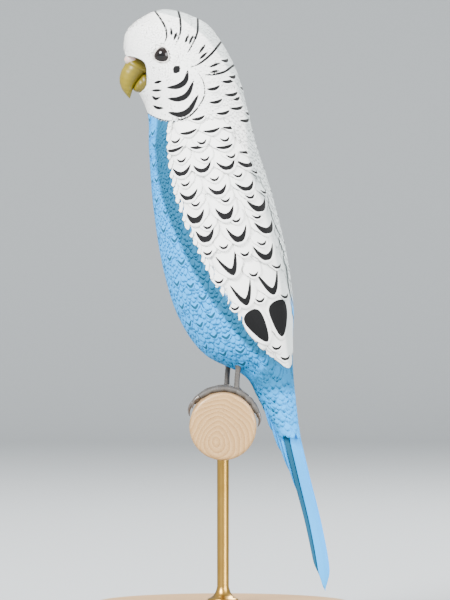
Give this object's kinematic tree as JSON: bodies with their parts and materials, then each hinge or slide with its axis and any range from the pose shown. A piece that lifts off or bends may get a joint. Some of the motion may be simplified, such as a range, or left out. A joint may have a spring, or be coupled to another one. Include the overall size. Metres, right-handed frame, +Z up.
{
  "type": "budgerigar on a display perch",
  "caption": "Life-size still model of a white-winged blue budgerigar in side pose, gripping a short perch on a rod and round base.",
  "frame": {"origin": "centre of the round base's underside, on the floor", "axes": "+Z up; the bird faces -X, with its left side towards -Y"},
  "size_m": [0.092, 0.092, 0.2057],
  "materials": {
    "white_plumage": "soft matte feather",
    "blue_plumage": "soft matte feather",
    "bill_horn": "smooth horn, satin",
    "cere_skin": "bare waxy skin",
    "eye_dark": "wet, mirror smooth",
    "foot_skin": "scaly skin",
    "claw_horn": "satin horn",
    "stand_wood": "oiled",
    "stand_metal": "brushed"
  },
  "bodies": {
    "root": {"head": "white_plumage", "neck": "white_plumage", "torso": "blue_plumage", "rump": "blue_plumage", "tail": "blue_plumage", "wing_left": "white_plumage", "wing_right": "white_plumage", "bill_upper": "bill_horn", "bill_lower": "bill_horn", "cere": "cere_skin", "eye_left": "eye_dark", "eye_right": "eye_dark", "leg_left": "foot_skin", "foot_left": "foot_skin", "claw_left_front_outer": "claw_horn", "claw_left_front_inner": "claw_horn", "claw_left_back_outer": "claw_horn", "claw_left_back_inner": "claw_horn", "leg_right": "foot_skin", "foot_right": "foot_skin", "claw_right_front_outer": "claw_horn", "claw_right_front_inner": "claw_horn", "claw_right_back_outer": "claw_horn", "claw_right_back_inner": "claw_horn", "stand_base": "stand_wood", "stand_rod": "stand_metal", "stand_perch": "stand_wood"}
  },
  "joints": []
}
